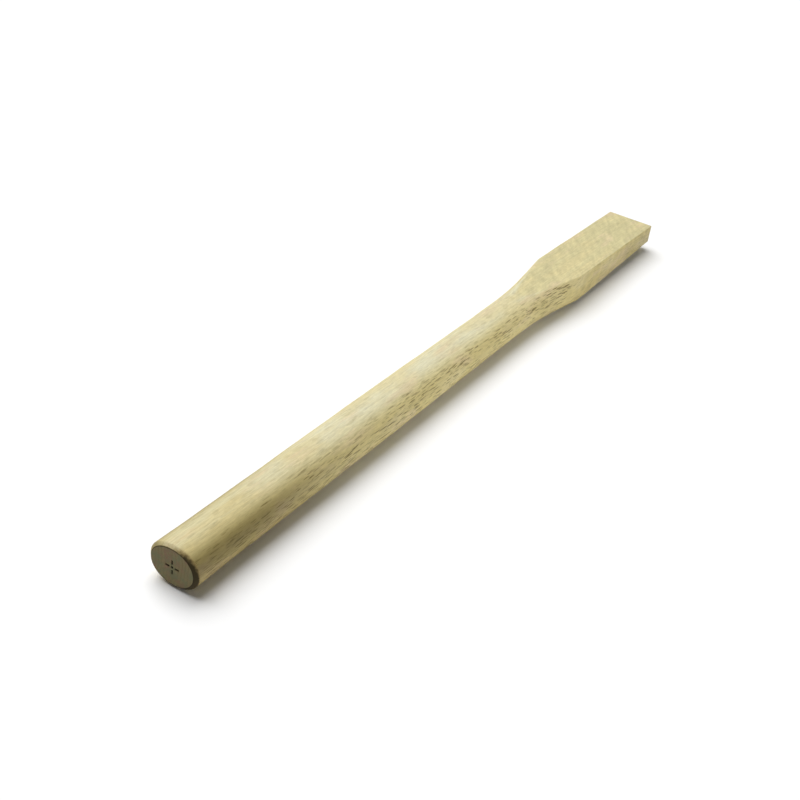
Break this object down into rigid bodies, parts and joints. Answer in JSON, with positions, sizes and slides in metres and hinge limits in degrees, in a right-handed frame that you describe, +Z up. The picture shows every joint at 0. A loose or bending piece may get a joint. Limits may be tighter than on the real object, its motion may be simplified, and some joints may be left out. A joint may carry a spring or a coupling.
{
  "type": "splitting maul handle",
  "caption": "Straight bare wooden maul handle: oval grip, chamfered butt, flared shoulder and a tapered rectangular tongue for the head's eye.",
  "frame": {"origin": "on the floor under the middle of the handle's length, with the handle lying on a wide side", "axes": "+X along the handle from the butt to the tongue's end, +Y across its wide faces, +Z up through its thickness"},
  "size_m": [0.8, 0.054, 0.038],
  "materials": {
    "handle": "bare sanded beech, no varnish"
  },
  "bodies": {
    "root": {"handle": "handle"}
  },
  "joints": []
}
